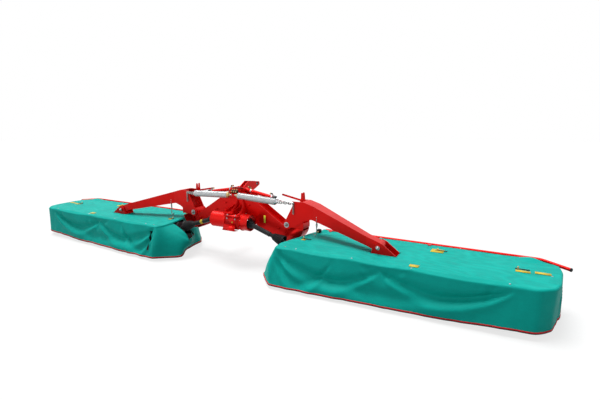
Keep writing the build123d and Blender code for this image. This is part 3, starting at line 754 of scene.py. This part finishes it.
# Springs, chains, shafts, cylinders and small fittings, from pivots and axes of the right-hand side
SPRING_PIN = Vector((0.04, -0.004, 1.09))
SPRING_LEAN = math.radians(2.5)
SPRING_AIM = Vector((math.cos(SPRING_LEAN), 0, -math.sin(SPRING_LEAN)))
HINGE = Vector((0.951, 0.0, 0.698))
SHAFT_START, SHAFT_STOP = Vector((0.3, -0.08, 0.7)), Vector((1.01, -0.08, 0.47))


def circle(count, radius):
    """Points round a circle, as pairs."""
    turns = (2 * math.pi * k / count for k in range(count))
    return [(radius * math.cos(turn), radius * math.sin(turn)) for turn in turns]


def frame_at(origin, aim):
    """Point at a distance along aim, then sideways by u (upward) and w (to +Y)."""
    aim = aim.normalized()
    up = Vector((-aim.z, 0, aim.x)) if aim.x >= 0 else Vector((aim.z, 0, -aim.x))

    def at(d, u=0.0, w=0.0):
        return origin + aim * d + up * u + Vector((0, w, 0))
    return at


# Chain links: half length, half width, wire; then the pitch of the links
TAUT, TAUT_PITCH = (0.024, 0.0155, 0.0068), 0.034
SPARE, SPARE_PITCH = (0.0215, 0.0112, 0.0048), 0.034
DROP, DROP_PITCH = (0.0195, 0.011, 0.005), 0.025625


def link(name, centre, along_axis, across, size):
    """One round-wire chain link, its oval in the plane of the two directions."""
    half_long, half_wide, wire = size
    along_axis, across = Vector(along_axis).normalized(), Vector(across).normalized()
    straight = half_long - half_wide
    points = []
    for x, y in circle(28, half_wide):
        x += straight if x > 0 else -straight
        points.append(Vector(centre) + along_axis * x + across * y)
    return tube(name, points, wire, CHAIN, closed=True)


def hanging(name, top, count, size, pitch):
    """Vertical run of links, each a quarter turn from the last."""
    links = []
    for number in range(count):
        across = (0, 1, 0) if number % 2 == 1 else (1, 0, 0)
        links.append(link(f"{name}_{number}", top - Vector((0, 0, pitch * number)), (0, 0, 1), across, size))
    return links


def relief_spring(side, s):
    """Coil spring with its end plugs and fork, the taut chain on it and the spare links on the arm."""
    aim = mirrored(SPRING_AIM, s)
    at = frame_at(mirrored(SPRING_PIN, s), aim)
    start, end = 0.064, 0.766
    wire, mean, turns, per_turn = 0.0052, 0.0466, 68, 22
    points = []
    for step in range(turns * per_turn + 1):
        t = step / (turns * per_turn)
        turn = 2 * math.pi * turns * t
        points.append(at(start + 0.004 + (end - start - 0.008) * t, mean * math.cos(turn), mean * math.sin(turn)))
    parts = [tube("coil", points, wire, SPRING, smooth=False)]
    eye, cheek_thick = 0.016, 0.01
    for low in (0.0073, -0.0173):
        cheek = []
        for step in range(13):
            turn = math.pi / 2 + math.pi * step / 12
            cheek.append(at(eye * math.cos(turn), eye * math.sin(turn), low))
        cheek += [at(0.044, -eye, low), at(0.044, eye, low)]
        parts.append(rounded_plate("fork", cheek, (0, 1, 0), cheek_thick, ZINC, 0.0012))
    parts.append(lathe("plug_in", at(0), aim, [
        (0.022, 0), (0.022, 0.016), (0.032, 0.017), (0.032, 0.024), (0.044, 0.024), (0.044, 0.03),
        (0.05, 0.036), (0.058, 0.0445), (0.066, 0.046), (0.07, 0.04), (0.07, 0)], BRASS, 36))
    parts.append(lathe("plug_out", at(end), aim, [
        (-0.006, 0), (-0.006, 0.044), (0.002, 0.0455), (0.01, 0.04), (0.026, 0.024),
        (0.03, 0.024), (0.03, 0.015), (0.04, 0.012), (0.04, 0)], ZINC, 36))
    parts.append(bolt("nut", at(0.0385), -aim, 0.021, BRASS, False))
    ring = [at(end + 0.054 + x, y) for x, y in circle(28, 0.0185)]
    parts.append(tube("shackle", ring, 0.0055, CHAIN, closed=True))
    group(f"relief_spring_coil_{side}", parts, f"spring_{side}", "zinc", f"relief_spring_{side}")

    links = []
    first, rise = end + 0.0883, 0.009
    for number in range(5):
        across = (0, 1, 0) if number % 2 == 1 else (at(0, 1) - at(0))
        links.append(link(f"taut_{number}", at(first + TAUT_PITCH * number, 0, rise * number), aim, across, TAUT))
    group(f"relief_chain_links_{side}", links, f"spring_{side}", "zinc", f"relief_chain_{side}")

    top = mirrored((1.073, 0.0667, 1.036), s)
    links = hanging("spare", top, 5, SPARE, SPARE_PITCH)
    links.append(lathe("chain_bolt", top + Vector((0, -0.012, 0.012)), (0, 1, 0),
                       [(0, 0), (0, 0.009), (0.004, 0.01), (0.025, 0.01)], ZINC, 16))
    group(f"spare_chain_links_{side}", links, f"arm_{side}", "zinc", f"arm_chain_{side}")


def drop_chain(side, s):
    """Chain with its hook, hanging from the underside of the arm."""
    top = mirrored((1.47, 0.068, 0.858), s)
    parts = hanging("drop", top, 6, DROP, DROP_PITCH)
    low = top - Vector((0, 0, DROP_PITCH * 6 - 0.008))
    hook = [low + Vector((x * s, -0.004, z)) for x, z in (
        (0.0, 0.01), (0.0, -0.006), (0.0, -0.06), (0.0, -0.086), (-0.012, -0.104), (-0.034, -0.108),
        (-0.052, -0.096), (-0.056, -0.074))]
    parts.append(tube("hook", hook, 0.007, CHAIN))
    parts.append(lathe("hook_eye", top + Vector((0, -0.001, 0.016)), (0, 1, 0),
                       [(-0.008, 0), (-0.008, 0.008), (0.016, 0.008)], ZINC, 16))
    group(f"hook_chain_{side}", parts, f"arm_{side}", "zinc")


def ribs(start, pitch, count, radius, growth, profile):
    """Ribs of a cone: start, pitch and radius of the first, then a profile repeated from rib to rib."""
    rows = []
    for ring in range(count):
        d, r = start + pitch * ring, radius + growth * ring
        rows += [(d + along_rib, r + out) for along_rib, out in profile]
    return rows


def shaft(side, s):
    """Telescopic drive shaft: outer guard with its cone at the gearbox, inner guard with its boot at the unit."""
    aim = mirrored(SHAFT_STOP - SHAFT_START, s).normalized()
    origin = mirrored(SHAFT_START, s)
    long = (SHAFT_STOP - SHAFT_START).length
    cone = ribs(0.056, 0.016, 6, 0.087, -0.0075, ((0, -0.006), (0.004, 0), (0.01, -0.001), (0.013, -0.008)))
    outer = [(0.0, 0), (0.0, 0.02), (0.034, 0.021), (0.036, 0.033), (0.056, 0.034), (0.056, 0.06), *cone,
             (0.156, 0.041), (0.166, 0.0375), (0.462, 0.0375), (0.464, 0.0395), (0.47, 0.0395),
             (0.47, 0.0306), (0.42, 0.0306)]
    parts = [lathe("outer_guard", origin, aim, outer, PLASTIC, 40)]
    yoke = [(-0.03, 0), (-0.022, 0.02), (0.0, 0.03), (0.022, 0.0205)]
    parts.append(lathe("yoke", origin, aim, yoke, ZINC, 24))
    if s < 0:
        parts.append(lathe("label", origin, aim, [
            (0.3, 0.0377), (0.3005, 0.0382), (0.352, 0.0382), (0.3525, 0.0377)], YELLOW, 40))
    group(f"shaft_guard_outer_{side}", parts, f"shaft_outer_{side}", "black_plastic", f"drive_outer_{side}")
    mouth = long - 0.025
    boot = ribs(mouth - 0.18, 0.0245, 7, 0.056, 0.0056,
                ((0, -0.013), (0.005, -0.003), (0.012, 0), (0.019, -0.004)))
    inner = [(0.26, 0), (0.26, 0.03), (mouth - 0.206, 0.03), (mouth - 0.202, 0.036), (mouth - 0.19, 0.042),
             *boot, (mouth - 0.006, 0.09), (mouth, 0.092), (mouth, 0.086), (mouth - 0.09, 0.05)]
    parts = [lathe("inner_guard", origin, aim, inner, RUBBER, 44)]
    core = [(-0.1, 0.0), (-0.1, 0.034), (-0.036, 0.034), (-0.036, 0.022), (-0.02, 0.022), (-0.012, 0.027),
            (0, 0.03), (0.014, 0.0265), (0.026, 0.014), (0.03, 0)]
    parts.append(lathe("inner_core", origin, aim, [(long + d, r) for d, r in core], DARK, 28))
    group(f"shaft_guard_inner_{side}", parts, f"shaft_inner_{side}", "black_plastic", f"drive_inner_{side}")


def slab(name, low, high, mat, edge):
    """Block between two corners, with softened edges."""
    corners = [Vector((x, low[1], z)) for x, z in ((low[0], low[2]), (high[0], low[2]), (high[0], high[2]),
                                                   (low[0], high[2]))]
    return rounded_plate(name, corners, (0, 1, 0), high[1] - low[1], mat, edge)


def gearbox_guards():
    """Central gearbox with its two drums, its bent guard plate and the shaft to the tractor."""
    axle = Vector((0, -0.08, 0.692))
    bore, wall, flange = 0.1225, 0.1285, 0.138
    parts = []
    for mouth, inner in ((-0.335, -0.02), (0.4, 0.244)):
        aim = Vector((1 if inner > mouth else -1, 0, 0))
        long = abs(inner - mouth)
        parts.append(lathe("drum", axle + Vector((mouth, 0, 0)), aim, [
            (long, bore), (0, bore), (0, wall), (0.003, wall + 0.002), (0.009, wall + 0.002), (0.012, wall),
            (long - 0.02, wall), (long - 0.018, flange), (long - 0.006, flange), (long - 0.004, wall),
            (long, wall)], RED, 72))
        bolt_circle, count = 0.1325, 8
        for number in range(count):
            angle = 2 * math.pi * (number + 0.5) / count
            spot = Vector((inner - aim.x * 0.02, bolt_circle * math.cos(angle), bolt_circle * math.sin(angle)))
            parts.append(bolt("drum_bolt", axle + spot, -aim, 0.0045, ZINC, False))
    for name, low, high, mat, edge in (
            ("casting", (-0.018, -0.212, 0.588), (0.242, -0.045, 0.792), RED_CAST, 0.01),
            ("casting_front", (-0.074, -0.047, 0.592), (0.074, 0.1, 0.8), RED_CAST, 0.01),
            ("lid", (-0.026, -0.226, 0.79), (0.25, -0.02, 0.805), RED, 0.003),
            ("face", (0.02, -0.219, 0.64), (0.204, -0.211, 0.772), RED_CAST, 0.004),
            ("input_flange", (-0.055, 0.1, 0.635), (0.055, 0.122, 0.745), RED_CAST, 0.008)):
        parts.append(slab(name, low, high, mat, edge))
    parts.append(lathe("stub_shafts", (-0.27, -0.08, 0.7), (1, 0, 0), [
        (0, 0), (0, 0.028), (0.004, 0.03), (0.536, 0.03), (0.54, 0.028), (0.54, 0)], STEEL_BLACK, 32))
    parts.append(lathe("input_shaft", (0, 0.1, 0.69), (0, 1, 0), [
        (0, 0.0175), (0.078, 0.0175), (0.086, 0.0155), (0.09, 0.014), (0.09, 0)], ZINC, 36))
    for x in (0.034, 0.19):
        for z in (0.655, 0.757):
            parts.append(bolt("face_bolt", (x, -0.219, z), (0, -1, 0), 0.0075, ZINC))
        parts.append(bolt("lid_bolt", (x, -0.205, 0.805), (0, 0, 1), 0.0105, ZINC))
    parts.append(lathe("plug", (0.135, -0.219, 0.702), (0, -1, 0), [
        (-0.001, 0), (-0.001, 0.013), (0.004, 0.013), (0.006, 0.01), (0.006, 0)], YELLOW, 24))
    tray = [Vector(c) for c in ((-0.022, -0.222, 0.664), (0.206, -0.222, 0.664), (0.236, -0.302, 0.583),
                                (0.002, -0.302, 0.583))]
    outward = (tray[1] - tray[0]).cross(tray[2] - tray[1])
    parts.append(rounded_plate("bent_guard", tray, outward, -0.005, RED, 0.0012))
    under = [(0.002, -0.302, 0.583), (0.236, -0.302, 0.583), (0.24, -0.21, 0.575), (-0.016, -0.21, 0.575)]
    parts.append(rounded_plate("guard_floor", under, (0, 0, 1), 0.005, RED, 0.0012))
    group("gearbox_and_guards", parts, "root", "red_paint", "main_gearbox", "drum_guards", "gearbox_shield")


def valve_block():
    """Small valve with its unions and pipes, behind the inner ends of the springs."""
    half, rear, front, low, high = 0.06, 0.02, 0.062, 1.122, 1.168
    parts = [slab("valve", (-half, rear, low), (half, front, high), STEEL_BLACK, 0.004)]
    spread = 0.042
    for x in (-spread, 0.0, spread):
        for aim, foot in (((0, 0, 1), (x, 0.041, high)), ((0, -1, 0), (x, rear, 1.145))):
            parts.append(lathe("union", foot, aim, [
                (0, 0.012), (0.01, 0.012), (0.01, 0.0095), (0.02, 0.009), (0.02, 0)], BRASS, 6, False))
    for reach in (-1, 1):
        pipe = [(reach * (spread + out), y, z) for out, y, z in (
            (0, 0.041, 1.18), (0, 0.041, 1.198), (0.01, 0.055, 1.206), (0.03, 0.09, 1.204),
            (0.034, 0.13, 1.19), (0.03, 0.158, 1.172))]
        parts.append(tube("pipe", pipe, 0.0075, STEEL_BLACK))
    group("valve_and_pipes", parts, "root", "black_plastic")


def cylinder_fittings(side, s):
    """Gland, clamps, unions and elbows of the fold cylinder."""
    base, eye = Vector((0.088, 0.205, 1.166)), Vector((1.06, 0.205, 1.000))
    aim = mirrored(eye - base, s).normalized()
    at = frame_at(mirrored(base, s), aim)
    parts = [lathe("gland", at(0), aim, [
        (0.548, 0.03), (0.55, 0.0362), (0.556, 0.0372), (0.604, 0.0372), (0.607, 0.0345), (0.612, 0.03),
        (0.615, 0.022), (0.615, 0.0178)], STEEL_BLACK, 36)]
    for d in (0.115, 0.52):
        parts.append(lathe("clamp", at(d), aim, [
            (0, 0.0302), (0, 0.0335), (0.018, 0.0335), (0.018, 0.0302)], ZINC, 32))
    for d, mat in ((0.535, ZINC), (0.105, BRASS)):
        foot = at(d, 0.028)
        parts.append(lathe("union", foot, (0, 0, 1), [
            (0, 0.011), (0.01, 0.011), (0.01, 0.014), (0.02, 0.014), (0.02, 0.01), (0.026, 0.009),
            (0.026, 0)], mat, 20))
        bend = [foot + Vector((x * s, 0, z)) for x, z in (
            (0, 0.014), (0, 0.026), (-0.004, 0.033), (-0.02, 0.034), (-0.04, 0.032))]
        parts.append(tube("elbow", bend, 0.01, STEEL_BLACK))
        parts.append(lathe("elbow_nut", bend[-1], (-s, 0, 0), [
            (-0.014, 0.01), (-0.014, 0.0145), (0.004, 0.0145), (0.004, 0)], BRASS, 6, False))
    group(f"cylinder_fittings_{side}", parts, f"barrel_{side}", "black_plastic")


def fasten(side, s):
    """Bolts, pins and blank plates that ride on the arm, the headstock and the unit."""
    hinge = mirrored((HINGE.x, 0.069, HINGE.z), s)
    arm = [bolt("hinge_nut", hinge, (0, -1, 0), 0.02, CHAIN)]
    group(f"arm_bolts_{side}", arm, f"arm_{side}", "zinc")
    unit = [bolt("pivot_nut", mirrored((2.491, -0.226, 0.642), s), (0, -1, 0), 0.018, ZINC)]
    tip, aim = (4.628, 0.4, 0.53), (0.84, -0.536, -0.056)
    unit.append(lathe("end_plug", mirrored(tip, s), mirrored(aim, s), [
        (-0.001, 0.0212), (-0.001, 0.0232), (0.012, 0.0232), (0.016, 0.018), (0.016, 0)], RUBBER, 24))
    group(f"unit_hardware_{side}", unit, f"unit_{side}", "zinc")
    head = []
    if s > 0:
        plate = [(0.532, 0.0795, 0.8), (0.566, 0.0795, 0.8), (0.566, 0.0795, 0.68), (0.532, 0.0795, 0.68)]
        head.append(rounded_plate("beam_plate", plate, (0, -1, 0), 0.0016, SIGN, 0.0006))
    for x, z in ((0.24, 0.93), (0.44, 0.8), (0.8, 0.62), (0.84, 0.5)):
        head.append(bolt("beam_bolt", mirrored((x, 0.08, z), s), (0, -1, 0), 0.01, RED))
    head.append(lathe("bush", mirrored((0.046, 0.61, 1.21), s), (s, 0, 0), [
        (-0.012, 0.0158), (-0.0005, 0.0158), (-0.0005, 0.026), (0.004, 0.026), (0.004, 0.0158)], STEEL_BLACK, 28))
    group(f"headstock_bolts_{side}", head, "root", "red_paint")


def knuckle_lobe(side, s):
    """Rounded lower part of the headstock's hinge plates, with its rim and the gusset at the middle."""
    radius, steps, first, sweep = 0.2785, 26, -13, -87
    arc = []
    for k in range(steps + 1):
        angle = math.radians(first + sweep * k / steps)
        arc.append(HINGE + radius * Vector((math.cos(angle), 0, math.sin(angle))))
    inside = [Vector((x, 0, z)) for x, z in (
        (0.896, 0.47), (0.94, 0.64), (1.1, 0.66), (1.19, 0.664), (1.214, 0.655))]
    parts = []
    for y in (0.1006, 0.2986) if s > 0 else (0.2986,):
        corners = [mirrored(p + Vector((0, y, 0)), s) for p in arc + inside]
        parts.append(rounded_plate("lobe", corners, (0, 1, 0), 0.0108, RED, 0.0015))
    bm = bmesh.new()
    rows = []
    for p in arc[1:]:
        aim = (p - HINGE).normalized()
        rows.append([bm.verts.new(mirrored(p + aim * depth + Vector((0, y, 0)), s))
                     for depth, y in ((-0.001, 0.105), (-0.001, 0.305), (-0.011, 0.305), (-0.011, 0.105))])
    for low, high in zip(rows, rows[1:]):
        for k in range(4):
            bm.faces.new((low[k], low[(k + 1) % 4], high[(k + 1) % 4], high[k]))
    bm.faces.new(rows[0])
    bm.faces.new(rows[-1])
    parts.append(crisp(from_bm("rim", bm, RED)))
    top, bottom = 1.065, 0.806
    profile = [(0.099, top), (0.082, 1.000), (0.052, 0.95), (0.01, 0.905), (-0.045, 0.868),
               (-0.11, 0.838), (-0.185, 0.818), (-0.185, bottom), (0.099, bottom)]
    foot, head = (0.205, 0.085) if s > 0 else (0.004, 0.014)
    corners = [Vector((head + (foot - head) * (top - z) / (top - bottom), y, z)) for y, z in profile]
    parts.append(rounded_plate("gusset", corners, (1, 0, 0), 0.01, RED, 0.0015))
    group(f"headstock_gussets_{side}", parts, "root", "red_paint")


# Blank plates on the roof: middle and size; then where the straps and the press studs are
BLANKS = ((3.01, -0.447, 0.11, 0.085), (3.145, 0.293, 0.16, 0.15), (4.137, -0.03, 0.15, 0.07),
          (4.335, 0.0, 0.16, 0.07), (1.345, -0.1, 0.06, 0.05))
STRAPS = ((3.19, 0.31), (4.13, 0.035), (1.37, -0.06))
POPPERS = ((1.285, -0.525), (1.46, -0.535), (2.26, -0.54), (3.00, -0.535), (4.02, -0.515), (4.42, -0.05),
           (1.45, 0.53), (2.3, 0.535), (3.4, 0.535), (4.1, 0.52))


def cover_plates(side, s):
    """Blank plates, straps and studs on the cover."""
    parts = []
    z = ROOF_Z + 0.0022

    def flat(name, corners, height, thick, mat, bevel):
        points = [mirrored((x, y, height), s) for x, y in corners]
        parts.append(rounded_plate(name, points, (0, 0, 1), thick, mat, bevel))

    for number, (x, y, w, d) in enumerate(BLANKS):
        corners = [(x + a * w / 2, y + b * d / 2) for a, b in ((-1, -1), (1, -1), (1, 1), (-1, 1))]
        flat(f"blank_{number}_{side}", corners, z, 0.0014, YELLOW, 0.0005)
    for x, y in STRAPS:
        strap = [(x - 0.075, y - 0.01), (x + 0.075, y - 0.004), (x + 0.075, y + 0.018), (x - 0.075, y + 0.014)]
        flat("strap", strap, z + 0.001, 0.004, RUBBER, 0.0012)
        parts.append(lathe("stud", mirrored((x - 0.045, y + 0.002, z + 0.004), s), (0, 0, 1), [
            (0, 0.012), (0.003, 0.012), (0.004, 0.006), (0.016, 0.006), (0.018, 0.011), (0.024, 0.011),
            (0.027, 0.006), (0.027, 0)], BRASS, 20))
    block = ((1.335, 0.335), (1.395, 0.335), (1.395, 0.4), (1.335, 0.4))
    flat("latch", block, z, 0.052, RUBBER, 0.006)
    parts.append(lathe("latch_cap", mirrored((1.365, 0.33, z + 0.018), s), (0, -1, 0), [
        (-0.002, 0), (-0.002, 0.016), (0.01, 0.016), (0.014, 0.01), (0.014, 0)], BRASS, 20))
    for x, y in POPPERS:
        parts.append(lathe("popper", mirrored((x, y, z - 0.002), s), (0, 0, 1), [
            (0, 0.01), (0.003, 0.0098), (0.005, 0.007), (0.0055, 0.0035), (0.004, 0)], ZINC, 20))
    group(f"cover_fittings_{side}", parts, f"unit_{side}", "black_plastic")


for side, s in SIDES:
    for build in (relief_spring, drop_chain, shaft, cylinder_fittings, fasten, knuckle_lobe, cover_plates, lining):
        build(side, s)
gearbox_guards()
valve_block()


# Floor, backdrop and light
SUNS = (("key", 2.65, 34, (0.3, -0.06, -1.0)), ("fill", 0.52, 60, (0.35, 1.0, -0.3)))
FLOOR_GREY, FLOOR_GLOW, SKY_STRENGTH = 0.28, 0.75, 0.21


def by_ray(tree, rays, usual, seen, out):
    """Send one shader to the output for these kinds of ray, and the usual one for the rest."""
    path = tree.nodes.new("ShaderNodeLightPath")
    share = path.outputs[rays[0]]
    for ray in rays[1:]:
        either = tree.nodes.new("ShaderNodeMath")
        either.operation = "MAXIMUM"
        tree.links.new(share, either.inputs[0])
        tree.links.new(path.outputs[ray], either.inputs[1])
        share = either.outputs[0]
    pick = tree.nodes.new("ShaderNodeMixShader")
    for source, socket in zip((share, usual.outputs[0], seen.outputs[0]), pick.inputs):
        tree.links.new(source, socket)
    tree.links.new(pick.outputs[0], out.inputs["Surface"])


def bare_tree(owner):
    owner.use_nodes = True
    owner.node_tree.nodes.clear()
    return owner.node_tree


def stage():
    bm = bmesh.new()
    bmesh.ops.create_grid(bm, x_segments=2, y_segments=2, size=60)
    mesh = bpy.data.meshes.new("floor")
    bm.to_mesh(mesh)
    bm.free()
    floor = bpy.data.objects.new("floor", mesh)
    scene.collection.objects.link(floor)
    mat = bpy.data.materials.new("pale_floor")
    tree = bare_tree(mat)
    out = tree.nodes.new("ShaderNodeOutputMaterial")
    diffuse = tree.nodes.new("ShaderNodeBsdfDiffuse")
    diffuse.inputs["Color"].default_value = (FLOOR_GREY, FLOOR_GREY, FLOOR_GREY, 1)
    glow = tree.nodes.new("ShaderNodeEmission")
    glow.inputs["Strength"].default_value = FLOOR_GLOW
    both = tree.nodes.new("ShaderNodeAddShader")
    tree.links.new(diffuse.outputs[0], both.inputs[0])
    tree.links.new(glow.outputs[0], both.inputs[1])
    by_ray(tree, ("Is Camera Ray", "Is Glossy Ray"), diffuse, both, out)
    mesh.materials.append(mat)

    scene.world = bpy.data.worlds.new("world")
    tree = bare_tree(scene.world)
    out = tree.nodes.new("ShaderNodeOutputWorld")
    sky, white = tree.nodes.new("ShaderNodeBackground"), tree.nodes.new("ShaderNodeBackground")
    sky.inputs["Color"].default_value = (0.96, 0.98, 1.0, 1)
    sky.inputs["Strength"].default_value = SKY_STRENGTH
    white.inputs["Color"].default_value = (1, 1, 1, 1)
    by_ray(tree, ("Is Camera Ray", "Is Glossy Ray", "Is Transmission Ray"), sky, white, out)

    for name, strength, angle, direction in SUNS:
        data = bpy.data.lights.new(name, "SUN")
        data.energy = strength
        data.angle = math.radians(angle)
        lamp = bpy.data.objects.new(name, data)
        scene.collection.objects.link(lamp)
        lamp.rotation_euler = Vector(direction).to_track_quat("-Z", "Y").to_euler()


stage()
scene.view_settings.view_transform = "Standard"
